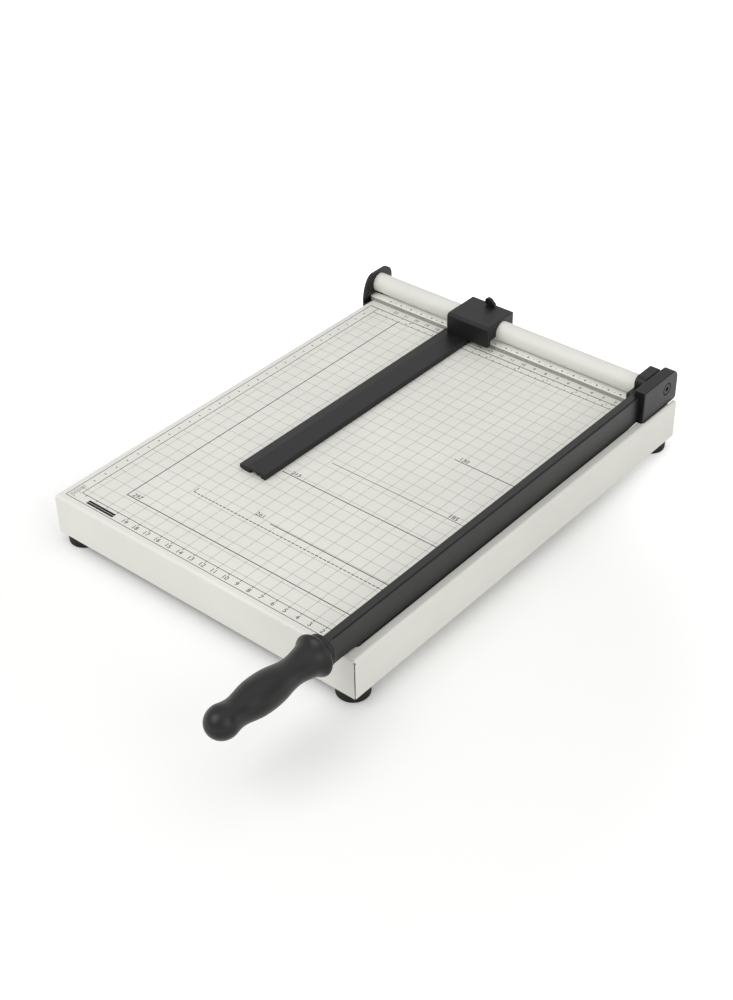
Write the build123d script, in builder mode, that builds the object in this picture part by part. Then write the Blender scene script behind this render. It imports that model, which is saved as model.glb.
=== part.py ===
"""Guillotine paper cutter: sheet-steel tray, swinging blade arm, sliding paper clamp.

All lengths are millimetres. X runs to the blade side, Y to the rear, Z up. The
origin lies under the middle of the cutter's length and of the tray's width, at
the height of the surface it stands on.
"""
import math
import os

from build123d import *

os.makedirs("parts", exist_ok=True)

# Tray, one folded sheet that is open below.
tray_width = 260.0
tray_length = 353.6
wall_height = 30.0
sheet = 1.0
bend_radius = 2.1
return_width = 19.0
seam_gap = 0.6
relief_dia = 1.8

# Rubber feet under the return flanges.
foot_dia = 22.0
foot_height = 8.1
foot_inset = 11.7
foot_round = 1.2
foot_recess_dia = 9.0
foot_recess_depth = 4.2

# Blade slot and what stands side by side in it, from the right wall inwards.
slot_land = 6.6
slot_front_land = 10.4
slot_corner = 2.6
arm_side_gap = 0.7
web_thickness = 3.1
blade_thickness = 1.8
shear_gap = 0.1
fixed_blade_thickness = 2.6
fixed_blade_height = 16.5
fixed_blade_end_gap = 0.9
lip_drop = 14.0
fixed_screw_drop = 7.8
fixed_screw_end = 21.0
fixed_screw_count = 5

# Swing axis of the blade arm, seen from the tray's rear edge and from the bed.
pivot_inset = 10.75
pivot_rise = 13.5
pivot_shoulder_dia = 6.0
pivot_thread_dia = 5.0
pivot_thread_depth = 6.0
pivot_head_dia = 8.2
pivot_head_height = 1.7
pivot_key_width = 3.0
pivot_key_depth = 1.0
pivot_side_gap = 2.0
running_gap = 0.05
end_float = 0.1
thrust_washer_dia = 11.4
spring_washer_dia = 8.8
spring_washer_thickness = 0.7
spring_washer_cone = 0.25

# Blade arm, an L-section bar with a bowed lower edge.
arm_height = 19.85
arm_flange_width = 6.7
arm_flange_thickness = 2.2
arm_edge_round = 0.4
arm_groove_width = 0.8
arm_groove_depth = 0.45
arm_groove_inset = 0.5
arm_front_overhang = 15.0
arm_front_rise = 1.25
arm_bow_start = 5.2
arm_bow_drop = 3.6
arm_rear_gap = 0.6
arm_tail_length = 7.0
arm_tail_corner = 4.3

# Moving blade on the arm's inner face.
blade_front_gap = 1.8
blade_rear_gap = 0.8
blade_below_web = 4.9
blade_top_drop = 4.8
bevel_depth = 0.8
bevel_height = 0.9
blade_screw_count = 5
blade_screw_end = 24.0
blade_screw_rise = 7.8
blade_screw_dia = 3.0
blade_screw_bite = 1.6

# Root block round the arm's rear end.
block_outer_wall = 4.4
block_inner_wall = 1.4
block_length = 43.8
block_overhang = 3.0
block_height = 24.85
block_sink = 0.6
block_top_corner = 7.0
block_bottom_corner = 1.8
block_edge_round = 0.9
block_recess_dia = 9.6
block_recess_depth = 2.8
block_swing_gap = 0.8
block_side_gap = 0.6
block_screw_dia = 2.6
block_screw_bite = 2.2
block_screw_front = 6.0
block_screw_pitch = 10.5
block_screw_rise = 10.5

# Grip, turned about an axis that tilts up to the front.
grip_length = 93.3
grip_tilt = 3.6
grip_collar_dia = 27.4
grip_axis_inset = 3.7
grip_axis_rise = 14.0
grip_rear_share = 0.745
grip_bulb_share = 0.76
grip_bulb_start_share = 0.88
grip_station_shares = (
    0.013, 0.032, 0.054, 0.078, 0.103, 0.129, 0.177, 0.264, 0.332, 0.431, 0.548, 0.646, 0.778, 0.838,
)
grip_radius_shares = (
    0.781, 0.745, 0.883, 1.0, 0.92, 0.821, 0.734, 0.65, 0.668, 0.788, 0.847, 0.803, 0.664, 0.715,
)
tang_height = 12.0
tang_end_wall = 15.0

# Rail tube and its two supports.
tube_inset = 15.8
tube_rise = 11.45
tube_dia = 14.8
tube_wall = 1.0
spigot_length = 6.0
tie_bolt_dia = 4.0
tie_bolt_head_dia = 7.2
tie_bolt_head_height = 1.4
tie_bolt_bite = 1.8
plate_thickness = 2.9
plate_front_inset = 33.6
plate_rear_inset = 0.9
plate_height = 21.4
plate_drop = 15.0
plate_nose = 11.3
plate_rear_corner = 8.5
plate_foot_corner = 4.0
plate_edge_round = 0.7
plate_pocket_depth = 1.7
plate_pocket_rise = 1.0
plate_screw_dia = 2.6
plate_screw_bite = 2.1
plate_screw_drop = 8.5
plate_screw_end = 7.0
bracket_thickness = 8.1
bracket_front_inset = 34.0
bracket_rear_inset = 2.4
bracket_height = 22.45
bracket_step_length = 9.7
bracket_step_height = 14.4
bracket_front_corner = 4.9
bracket_rear_corner = 2.6
bracket_edge_round = 0.7
bracket_screw_dia = 3.0
bracket_screw_bite = 7.0
bracket_screw_front = 4.9
bracket_screw_rear = 4.0

# Fence rule in front of the rail.
fence_front_inset = 26.2
fence_depth = 7.4
fence_height = 3.3
fence_end_gap = 0.3
fence_nose = 1.6
fence_round = 0.3
fence_screw_dia = 2.6
fence_screw_bite = 2.1
fence_screw_end = 22.0
fence_screw_count = 4

# Paper clamp: split liner, block, press arm and lock lever.
clamp_right_inset = 142.1
clamp_width = 37.7
clamp_front_inset = 34.2
clamp_rear_inset = 1.75
clamp_bottom_rise = 4.85
clamp_top_rise = 21.15
clamp_rear_rise = 9.3
clamp_skirt = 7.2
clamp_side_skirt = 3.9
clamp_side_skirt_gap = 1.4
clamp_front_round = 2.6
clamp_rear_round = 1.0
clamp_round = 0.7
clamp_bore_wall = 0.8
clamp_end_wall = 1.8
clamp_end_gap = 0.3
bush_rear_angle = -12.0
bush_front_angle = 186.0
press_width = 23.0
press_left_overhang = 4.8
press_front_inset = 98.8
press_bed_gap = 0.3
press_tail = 5.2
press_rim_share = 0.78
press_web_share = 0.42
press_rib_share = 0.74
press_crease_share = 0.32
press_left_foot_share = 0.22
press_left_foot_width_share = 0.18
press_rib_place_share = 0.655
press_rib_width_share = 0.085
press_right_foot_width_share = 0.17
press_crease_rise_share = 0.8
press_screw_dia = 2.2
press_screw_bite = 6.0
press_screw_shares = (0.53, 0.785)
lock_pin_dia = 4.8
lock_tip_gap = 0.5
lock_flat_depth = 0.5
lock_flat_height = 8.0
lock_window_width = 2.6
lock_window_height = 3.6
lock_collar_dia = 5.8
lock_collar_height = 0.9
lock_float = 0.1
lock_tab_length = 8.2
lock_tab_thickness = 2.8
lock_tab_height = 4.8
lock_tab_low = 1.2
lock_tab_corner = 1.8

# Screw heads and nuts as shares of the shank.
head_dia_share = 1.75
head_height_share = 0.6
head_slot_share = 0.25
sunk_dia_share = 1.9
sunk_height_share = 0.45
nut_width_share = 1.75
nut_height_share = 0.75
foot_screw_dia = 4.0
foot_screw_proud = 1.0

# Places that follow from the sizes.
x_right = tray_width / 2
x_left = -x_right
grip_run = grip_length * math.cos(math.radians(grip_tilt))
tang_length = grip_length - tang_end_wall
y_front = (arm_front_overhang + grip_run - tray_length - block_overhang) / 2
y_rear = y_front + tray_length
z_wall = foot_height
z_bed = foot_height + wall_height
x_slot_right = x_right - slot_land
x_arm_out = x_slot_right - arm_side_gap
x_web_in = x_arm_out - web_thickness
x_blade_in = x_web_in - blade_thickness
x_fixed_right = x_blade_in - shear_gap
x_fixed_left = x_fixed_right - fixed_blade_thickness
x_lip_left = x_fixed_left - sheet
x_block_out = x_arm_out + block_outer_wall
x_block_in = x_web_in - block_inner_wall
x_bracket_right = x_block_in - pivot_side_gap
x_bracket_left = x_bracket_right - bracket_thickness
x_plate_out = x_left - plate_thickness
x_pocket = x_left - plate_pocket_depth
thrust_washer_thickness = pivot_side_gap - end_float
y_pivot = y_rear - pivot_inset
z_pivot = z_bed + pivot_rise
y_tube = y_rear - tube_inset
z_tube = z_bed + tube_rise
y_block_rear = y_rear + block_overhang
y_block_front = y_block_rear - block_length
y_slot_front = y_front + slot_front_land
y_slot_rear = y_block_front - arm_rear_gap
z_block_bottom = z_bed - block_sink
z_block_top = z_block_bottom + block_height
z_arm_top = z_bed + arm_height
y_arm_front = y_front - arm_front_overhang
y_bow_start = y_front + arm_bow_start
y_bow_end = y_slot_rear
y_bow_middle = (y_bow_start + y_bow_end) / 2
y_blade_front = y_slot_front + blade_front_gap
y_blade_rear = y_slot_rear - blade_rear_gap
x_grip = x_arm_out - grip_axis_inset
z_grip = z_bed + grip_axis_rise
x_clamp_right = x_right - clamp_right_inset
x_clamp_left = x_clamp_right - clamp_width
y_clamp_front = y_rear - clamp_front_inset
y_clamp_rear = y_rear - clamp_rear_inset
z_clamp_bottom = z_bed + clamp_bottom_rise
z_clamp_top = z_bed + clamp_top_rise
tube_radius = tube_dia / 2
bush_bore = tube_radius + running_gap
bush_radius = tube_radius + running_gap + clamp_bore_wall
clamp_bore = bush_radius + running_gap

# The block's rear corner sweeps this far below the bed when the arm is lifted.
corner_reach = pivot_inset + block_overhang
corner_drop = pivot_rise + block_sink
swing_radius = math.hypot(corner_reach, corner_drop - block_bottom_corner)
swing_radius = max(swing_radius, math.hypot(corner_reach - block_bottom_corner, corner_drop))
notch_radius = swing_radius + block_swing_gap
notch_depth = notch_radius - pivot_rise

low = (Align.MIN, Align.MIN, Align.MIN)
upward = (Align.CENTER, Align.CENTER, Align.MIN)
downward = (Align.CENTER, Align.CENTER, Align.MAX)
right_angles = (0, 90, 0)
left_angles = (0, -90, 0)


def spread(first, last, count):
    """Return evenly spread places from first to last."""
    return [first + (last - first) * step / (count - 1) for step in range(count)]


def pan_screw(shank_dia, shank_length):
    """Return a slotted pan-head screw that points along +Z from its head's seat."""
    head_dia = shank_dia * head_dia_share
    head_height = shank_dia * head_height_share
    with BuildPart() as screw:
        Cylinder(head_dia / 2, head_height, align=downward)
        fillet(screw.edges().group_by(Axis.Z)[0], head_height / 2)
        with Locations((0, 0, -head_height)):
            Box(head_dia, shank_dia * head_slot_share, head_height, mode=Mode.SUBTRACT)
        Cylinder(shank_dia / 2, shank_length, align=upward)
    return screw.part


def sunk_screw(shank_dia, shank_length):
    """Return a countersunk screw that points along +Z from its flat head's face."""
    head_dia = shank_dia * sunk_dia_share
    head_height = shank_dia * sunk_height_share
    with BuildPart() as screw:
        Cylinder(shank_dia / 2, shank_length, align=upward)
        Cone(head_dia / 2, shank_dia / 2, head_height, align=upward)
    return screw.part


# Screws and nuts come first, because the pieces are drilled with them.
foot_places = [
    (x_left + foot_inset, y_front + foot_inset),
    (x_right - foot_inset, y_front + foot_inset),
    (x_left + foot_inset, y_rear - foot_inset),
    (x_right - foot_inset, y_rear - foot_inset),
]
foot_nut_height = foot_screw_dia * nut_height_share
foot_screw_length = (
    foot_height - foot_recess_depth + sheet + foot_nut_height + foot_screw_proud
)
foot_screw = pan_screw(foot_screw_dia, foot_screw_length)
with BuildPart() as foot_screws:
    with Locations(*[(x, y, foot_recess_depth) for x, y in foot_places]):
        add(foot_screw)
foot_screws.part.label = "foot screws"
export_step(foot_screws.part, "parts/foot_screws.step")

with BuildPart() as foot_nuts:
    with BuildSketch(Plane.XY.offset(z_wall + sheet)):
        with Locations(*foot_places):
            RegularPolygon(foot_screw_dia * nut_width_share / 2, 6, major_radius=False)
            Circle(foot_screw_dia / 2, mode=Mode.SUBTRACT)
    extrude(amount=foot_nut_height)
foot_nuts.part.label = "foot nuts"
export_step(foot_nuts.part, "parts/foot_nuts.step")

fence_left = x_pocket + fence_end_gap
fence_right = x_bracket_left - fence_end_gap
y_fence_front = y_rear - fence_front_inset
y_fence_rear = y_fence_front + fence_depth
y_fence_middle = (y_fence_front + y_fence_rear) / 2
fence_screw_places = spread(
    fence_left + fence_screw_end, fence_right - fence_screw_end, fence_screw_count
)
fence_screw = pan_screw(fence_screw_dia, sheet + fence_screw_bite)
with BuildPart() as fence_screws:
    with Locations(*[(x, y_fence_middle, z_bed - sheet) for x in fence_screw_places]):
        add(fence_screw)
fence_screws.part.label = "fence screws"
export_step(fence_screws.part, "parts/fence_screws.step")

y_plate_front = y_rear - plate_front_inset
y_plate_rear = y_rear - plate_rear_inset
plate_screw = pan_screw(plate_screw_dia, sheet + plate_screw_bite)
with BuildPart() as end_plate_screws:
    with Locations(
        *[
            Location((x_left + sheet, y, z_bed - plate_screw_drop), left_angles)
            for y in (y_plate_front + plate_screw_end, y_plate_rear - plate_screw_end)
        ]
    ):
        add(plate_screw)
end_plate_screws.part.label = "end plate screws"
export_step(end_plate_screws.part, "parts/end_plate_screws.step")

y_bracket_front = y_rear - bracket_front_inset
y_bracket_rear = y_rear - bracket_rear_inset
x_bracket_middle = (x_bracket_left + x_bracket_right) / 2
bracket_screw = pan_screw(bracket_screw_dia, sheet + bracket_screw_bite)
bracket_screw_places = [
    (x_bracket_middle, y_bracket_front + bracket_screw_front, z_bed - sheet),
    (x_bracket_middle, y_bracket_rear - bracket_screw_rear, z_bed - sheet),
]
with BuildPart() as bracket_screws:
    with Locations(*bracket_screw_places):
        add(bracket_screw)
bracket_screws.part.label = "bracket screws"
export_step(bracket_screws.part, "parts/bracket_screws.step")

y_fixed_front = y_slot_front + fixed_blade_end_gap
y_fixed_rear = y_slot_rear - fixed_blade_end_gap
fixed_screw_places = spread(
    y_fixed_front + fixed_screw_end, y_fixed_rear - fixed_screw_end, fixed_screw_count
)
fixed_screw = pan_screw(blade_screw_dia, sheet + blade_screw_bite)
with BuildPart() as fixed_blade_screws:
    with Locations(
        *[
            Location((x_lip_left, y, z_bed - fixed_screw_drop), right_angles)
            for y in fixed_screw_places
        ]
    ):
        add(fixed_screw)
fixed_blade_screws.part.label = "fixed blade screws"
export_step(fixed_blade_screws.part, "parts/fixed_blade_screws.step")

blade_screw_places = spread(
    y_blade_front + blade_screw_end, y_blade_rear - blade_screw_end, blade_screw_count
)
blade_screw = sunk_screw(blade_screw_dia, blade_thickness + blade_screw_bite)
with BuildPart() as blade_screws:
    with Locations(
        *[
            Location((x_blade_in, y, z_bed + blade_screw_rise), right_angles)
            for y in blade_screw_places
        ]
    ):
        add(blade_screw)
blade_screws.part.label = "blade screws"
export_step(blade_screws.part, "parts/blade_screws.step")

block_screw_length = block_inner_wall + web_thickness + block_screw_bite
block_screw = sunk_screw(block_screw_dia, block_screw_length)
y_block_screw = y_block_front + block_screw_front
with BuildPart() as root_block_screws:
    with Locations(
        *[
            Location((x_block_in, y, z_bed + block_screw_rise), right_angles)
            for y in (y_block_screw, y_block_screw + block_screw_pitch)
        ]
    ):
        add(block_screw)
root_block_screws.part.label = "root block screws"
export_step(root_block_screws.part, "parts/root_block_screws.step")

# Press arm sizes are wanted by its screws.
x_press_left = x_clamp_left - press_left_overhang
press_depth = clamp_bottom_rise - press_bed_gap
z_press_foot = z_bed + press_bed_gap
z_press_web = z_press_foot + press_depth * (1 - press_web_share)
z_press_rib = z_press_foot + press_depth * (1 - press_rib_share)
y_press_front = y_front + press_front_inset
y_press_rear = y_clamp_front + press_tail
press_screw_length = z_clamp_bottom - z_press_web + press_screw_bite
press_screw = pan_screw(press_screw_dia, press_screw_length)
with BuildPart() as press_arm_screws:
    with Locations(
        *[
            (x_press_left + press_width * share, y_press_rear - press_tail / 2, z_press_web)
            for share in press_screw_shares
        ]
    ):
        add(press_screw)
press_arm_screws.part.label = "press arm screws"
export_step(press_arm_screws.part, "parts/press_arm_screws.step")

# The tie bolt clamps the tube between the end plate and the bracket.
x_tie_seat = x_plate_out + tie_bolt_head_height
x_tie_end = x_bracket_left + tie_bolt_bite
with BuildPart() as rail_tie_bolt:
    with Locations(Location((x_tie_seat, y_tube, z_tube), right_angles)):
        Cylinder(tie_bolt_head_dia / 2, tie_bolt_head_height, align=downward)
        Cylinder(tie_bolt_dia / 2, x_tie_end - x_tie_seat, align=upward)
    with Locations((x_plate_out, y_tube, z_tube)):
        Box(
            tie_bolt_head_height,
            tie_bolt_head_dia,
            tie_bolt_dia * head_slot_share,
            mode=Mode.SUBTRACT,
        )
rail_tie_bolt.part.label = "rail tie bolt"
export_step(rail_tie_bolt.part, "parts/rail_tie_bolt.step")

# The pivot bolt is fixed in the bracket and its shoulder carries the arm.
x_recess_floor = x_block_out - block_recess_depth
x_bolt_seat = x_recess_floor + spring_washer_thickness + spring_washer_cone + end_float
with BuildPart() as pivot_bolt:
    with Locations(Location((x_bolt_seat, y_pivot, z_pivot), left_angles)):
        Cylinder(pivot_head_dia / 2, pivot_head_height, align=downward)
        Cylinder(pivot_shoulder_dia / 2, x_bolt_seat - x_bracket_right, align=upward)
    with Locations(Location((x_bracket_right, y_pivot, z_pivot), left_angles)):
        Cylinder(pivot_thread_dia / 2, pivot_thread_depth, align=upward)
    with BuildSketch(
        Plane.YZ.offset(x_bolt_seat + pivot_head_height - pivot_key_depth)
    ):
        with Locations((y_pivot, z_pivot)):
            RegularPolygon(pivot_key_width / 2, 6, major_radius=False)
    extrude(amount=pivot_key_depth, mode=Mode.SUBTRACT)
pivot_bolt.part.label = "pivot bolt"
export_step(pivot_bolt.part, "parts/pivot_bolt.step")

with BuildPart() as thrust_washer:
    with BuildSketch(Plane.YZ.offset(x_bracket_right)):
        with Locations((y_pivot, z_pivot)):
            Circle(thrust_washer_dia / 2)
            Circle(pivot_shoulder_dia / 2, mode=Mode.SUBTRACT)
    extrude(amount=thrust_washer_thickness)
thrust_washer.part.label = "thrust washer"
export_step(thrust_washer.part, "parts/thrust_washer.step")

# Dished spring washer, turned about the pivot.
washer_inner = pivot_shoulder_dia / 2 + end_float
washer_outer = spring_washer_dia / 2
with BuildPart() as spring_washer:
    with BuildSketch(Plane((x_recess_floor, y_pivot, z_pivot), x_dir=(1, 0, 0), z_dir=(0, -1, 0))):
        with BuildLine():
            Polyline(
                (0, washer_outer),
                (spring_washer_cone, washer_inner),
                (spring_washer_cone + spring_washer_thickness, washer_inner),
                (spring_washer_thickness, washer_outer),
                close=True,
            )
        make_face()
    revolve(axis=Axis((x_recess_floor, y_pivot, z_pivot), (1, 0, 0)))
spring_washer.part.label = "spring washer"
export_step(spring_washer.part, "parts/spring_washer.step")

# Tray: a box folded from one sheet, with return flanges left and right.
y_middle = y_front + tray_length / 2
inner_radius = bend_radius - sheet
seam_length = 4 * sheet
seam_height = wall_height - bend_radius
seam_places = [
    (x_left, y_front, -45),
    (x_right, y_front, 45),
    (x_left, y_rear, 45),
    (x_right, y_rear, -45),
]
with BuildPart() as tray_hollow:
    with BuildSketch(Plane.XY.offset(z_wall + sheet)):
        with Locations((0, y_middle)):
            Rectangle(tray_width - 2 * sheet, tray_length - 2 * sheet)
    extrude(amount=wall_height - 2 * sheet)
    fillet(tray_hollow.edges().group_by(Axis.Z)[-1], inner_radius)

with BuildPart() as base_tray:
    with BuildSketch(Plane.XY.offset(z_wall)):
        with Locations((0, y_middle)):
            Rectangle(tray_width, tray_length)
    extrude(amount=wall_height)
    fillet(base_tray.edges().group_by(Axis.Z)[-1], bend_radius)
    add(tray_hollow.part, mode=Mode.SUBTRACT)
    with BuildSketch(Plane.XY.offset(z_wall)):
        with Locations((0, y_middle)):
            Rectangle(tray_width - 2 * return_width, tray_length - 2 * sheet)
    extrude(amount=sheet, mode=Mode.SUBTRACT)
    # Slot for the blades and the lip that carries the fixed one.
    with BuildSketch(Plane.XY.offset(z_bed - sheet)) as slot_sketch:
        with Locations((x_fixed_left, y_slot_front)):
            Rectangle(
                x_slot_right - x_fixed_left,
                y_slot_rear - y_slot_front,
                align=(Align.MIN, Align.MIN),
            )
        fillet(slot_sketch.vertices().group_by(Axis.Y)[0].sort_by(Axis.X)[-1], slot_corner)
    extrude(amount=sheet, mode=Mode.SUBTRACT)
    with Locations((x_lip_left, y_slot_front, z_bed - lip_drop)):
        Box(sheet, y_slot_rear - y_slot_front, lip_drop - sheet, align=low)
    # Room for the root block when it swings.
    with Locations((x_block_in - block_side_gap, y_slot_rear, z_bed - notch_depth)):
        Box(
            x_block_out - x_block_in + 2 * block_side_gap,
            y_rear - y_slot_rear,
            notch_depth,
            align=low,
            mode=Mode.SUBTRACT,
        )
    # Mitred corner seams with a relief hole at the top.
    for x, y, turn in seam_places:
        with Locations(Location((x, y, z_wall), (0, 0, -turn))):
            Box(seam_length, seam_gap, seam_height, align=upward, mode=Mode.SUBTRACT)
        with Locations(Location((x, y, z_wall + seam_height), (90, turn, 0))):
            Cylinder(relief_dia / 2, seam_length, mode=Mode.SUBTRACT)
    for screws in (
        foot_screws,
        fence_screws,
        end_plate_screws,
        bracket_screws,
        fixed_blade_screws,
    ):
        add(screws.part, mode=Mode.SUBTRACT)
base_tray.part.label = "base tray"
export_step(base_tray.part, "parts/base_tray.step")

with BuildPart() as fixed_blade:
    with Locations((x_fixed_left, y_fixed_front, z_bed - fixed_blade_height)):
        Box(
            fixed_blade_thickness,
            y_fixed_rear - y_fixed_front,
            fixed_blade_height,
            align=low,
        )
    add(fixed_blade_screws.part, mode=Mode.SUBTRACT)
fixed_blade.part.label = "fixed blade"
export_step(fixed_blade.part, "parts/fixed_blade.step")

# One foot per corner, all of one shape.
foot_names = ("front_left", "front_right", "rear_left", "rear_right")
for foot_name, (foot_x, foot_y) in zip(foot_names, foot_places):
    with BuildPart() as foot:
        with Locations((foot_x, foot_y, 0)):
            Cylinder(foot_dia / 2, foot_height, align=upward)
            fillet(foot.edges().group_by(Axis.Z)[0], foot_round)
            Cylinder(foot_recess_dia / 2, foot_recess_depth, align=upward, mode=Mode.SUBTRACT)
        add(foot_screws.part, mode=Mode.SUBTRACT)
    foot.part.label = "foot " + foot_name.replace("_", " ")
    export_step(foot.part, "parts/foot_" + foot_name + ".step")

# Left end plate on the wall's outside, with a spigot for the tube and a pocket for the fence.
spigot_radius = tube_radius - tube_wall
z_plate_top = z_bed + plate_height
z_plate_foot = z_bed - plate_drop
y_plate_nose = y_plate_front + plate_nose
pocket_length = y_fence_rear + fence_end_gap - y_plate_front
with BuildPart() as left_end_plate:
    with BuildSketch(Plane.YZ.offset(x_plate_out)) as plate_sketch:
        with BuildLine():
            EllipticalCenterArc((y_plate_nose, z_bed), plate_nose, plate_height, 90, arc_size=90)
            Polyline(
                (y_plate_front, z_bed),
                (y_plate_front, z_plate_foot),
                (y_plate_rear, z_plate_foot),
                (y_plate_rear, z_plate_top - plate_rear_corner),
            )
            RadiusArc(
                (y_plate_rear, z_plate_top - plate_rear_corner),
                (y_plate_rear - plate_rear_corner, z_plate_top),
                -plate_rear_corner,
            )
            Line((y_plate_rear - plate_rear_corner, z_plate_top), (y_plate_nose, z_plate_top))
        make_face()
        fillet(plate_sketch.vertices().group_by(Axis.Y)[0], plate_foot_corner)
    extrude(amount=plate_thickness)
    fillet(left_end_plate.faces().sort_by(Axis.X)[0].edges(), plate_edge_round)
    with Locations((x_pocket, y_plate_front, z_bed)):
        Box(
            plate_pocket_depth,
            pocket_length,
            fence_height + plate_pocket_rise,
            align=low,
            mode=Mode.SUBTRACT,
        )
    with Locations(Location((x_left, y_tube, z_tube), right_angles)):
        Cylinder(spigot_radius, spigot_length, align=upward)
    with Locations(Location((x_plate_out, y_tube, z_tube), right_angles)):
        Cylinder(
            tie_bolt_head_dia / 2, tie_bolt_head_height, align=upward, mode=Mode.SUBTRACT
        )
    add(rail_tie_bolt.part, mode=Mode.SUBTRACT)
    add(end_plate_screws.part, mode=Mode.SUBTRACT)
left_end_plate.part.label = "left end plate"
export_step(left_end_plate.part, "parts/left_end_plate.step")

# Bracket at the rear right: a step to the front and a cheek for the pivot.
y_step_end = y_bracket_front + bracket_step_length
z_step = z_bed + bracket_step_height
z_bracket_top = z_bed + bracket_height
with BuildPart() as pivot_bracket:
    with BuildSketch(Plane.YZ.offset(x_bracket_left)):
        with BuildLine():
            Polyline(
                (y_step_end, z_bracket_top - bracket_front_corner),
                (y_step_end, z_step),
                (y_bracket_front, z_step),
                (y_bracket_front, z_bed),
                (y_bracket_rear, z_bed),
                (y_bracket_rear, z_bracket_top - bracket_rear_corner),
            )
            RadiusArc(
                (y_bracket_rear, z_bracket_top - bracket_rear_corner),
                (y_bracket_rear - bracket_rear_corner, z_bracket_top),
                -bracket_rear_corner,
            )
            Line(
                (y_bracket_rear - bracket_rear_corner, z_bracket_top),
                (y_step_end + bracket_front_corner, z_bracket_top),
            )
            RadiusArc(
                (y_step_end + bracket_front_corner, z_bracket_top),
                (y_step_end, z_bracket_top - bracket_front_corner),
                -bracket_front_corner,
            )
        make_face()
    extrude(amount=bracket_thickness)
    fillet(
        pivot_bracket.faces().sort_by(Axis.X)[0].edges().sort_by(Axis.Z)[1:]
        + pivot_bracket.faces().sort_by(Axis.X)[-1].edges().sort_by(Axis.Z)[1:],
        bracket_edge_round,
    )
    with Locations(Location((x_bracket_left, y_tube, z_tube), left_angles)):
        Cylinder(spigot_radius, spigot_length, align=upward)
    for screws in (rail_tie_bolt, pivot_bolt, bracket_screws):
        add(screws.part, mode=Mode.SUBTRACT)
pivot_bracket.part.label = "pivot bracket"
export_step(pivot_bracket.part, "parts/pivot_bracket.step")

with BuildPart() as rail_tube:
    with BuildSketch(Plane.YZ.offset(x_left)):
        with Locations((y_tube, z_tube)):
            Circle(tube_radius)
            Circle(spigot_radius, mode=Mode.SUBTRACT)
    extrude(amount=x_bracket_left - x_left)
rail_tube.part.label = "rail tube"
export_step(rail_tube.part, "parts/rail_tube.step")

with BuildPart() as fence_rule:
    with Locations((fence_left, y_fence_front, z_bed)):
        Box(fence_right - fence_left, fence_depth, fence_height, align=low)
    fillet(
        fence_rule.edges().filter_by(Axis.Z).group_by(Axis.Y)[0].sort_by(Axis.X)[0], fence_nose
    )
    fillet(fence_rule.faces().sort_by(Axis.Z)[-1].edges(), fence_round)
    add(fence_screws.part, mode=Mode.SUBTRACT)
fence_rule.part.label = "fence rule"
export_step(fence_rule.part, "parts/fence_rule.step")

# Blade arm: web with a bowed lower edge, a tang in front and a tail to the pivot.
grip_plane = Plane(
    (x_web_in, y_arm_front, z_grip),
    x_dir=(0, -math.cos(math.radians(grip_tilt)), math.sin(math.radians(grip_tilt))),
    z_dir=(-1, 0, 0),
)
y_tail = y_pivot + arm_tail_length
with BuildPart() as arm_tang:
    with BuildSketch(grip_plane):
        with Locations((tang_length / 2, 0)):
            Rectangle(tang_length, tang_height)
        with Locations((0, 0)):
            Rectangle(tang_height, tang_height)
    extrude(amount=-web_thickness)

with BuildPart() as blade_arm:
    with BuildSketch(Plane.YZ.offset(x_web_in)) as web_sketch:
        with BuildLine():
            Line((y_arm_front, z_bed + arm_front_rise), (y_bow_start, z_bed + arm_front_rise))
            ThreePointArc(
                (y_bow_start, z_bed + arm_front_rise),
                (y_bow_middle, z_bed - arm_bow_drop),
                (y_bow_end, z_block_bottom),
            )
            Polyline(
                (y_bow_end, z_block_bottom),
                (y_tail, z_block_bottom),
                (y_tail, z_arm_top),
                (y_arm_front, z_arm_top),
                (y_arm_front, z_bed + arm_front_rise),
            )
        make_face()
        fillet(web_sketch.vertices().group_by(Axis.X)[-1], arm_tail_corner)
    extrude(amount=web_thickness)
    with Locations((x_arm_out - arm_flange_width, y_arm_front, z_arm_top - arm_flange_thickness)):
        Box(
            arm_flange_width,
            y_slot_rear - y_arm_front,
            arm_flange_thickness,
            align=low,
        )
    fillet(
        blade_arm.edges().filter_by(Axis.Y).group_by(Axis.Z)[-1].sort_by(Axis.X)[-1],
        arm_edge_round,
    )
    with Locations(
        (
            x_arm_out - arm_groove_inset - arm_groove_width,
            y_arm_front,
            z_arm_top - arm_groove_depth,
        )
    ):
        Box(
            arm_groove_width,
            y_slot_rear - y_arm_front,
            arm_groove_depth,
            align=low,
            mode=Mode.SUBTRACT,
        )
    add(arm_tang.part)
    add(blade_screws.part, mode=Mode.SUBTRACT)
    add(root_block_screws.part, mode=Mode.SUBTRACT)
    with Locations(Location((x_web_in, y_pivot, z_pivot), right_angles)):
        Cylinder(
            pivot_shoulder_dia / 2 + running_gap, web_thickness, align=upward, mode=Mode.SUBTRACT
        )
blade_arm.part.label = "blade arm"
export_step(blade_arm.part, "parts/blade_arm.step")

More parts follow.
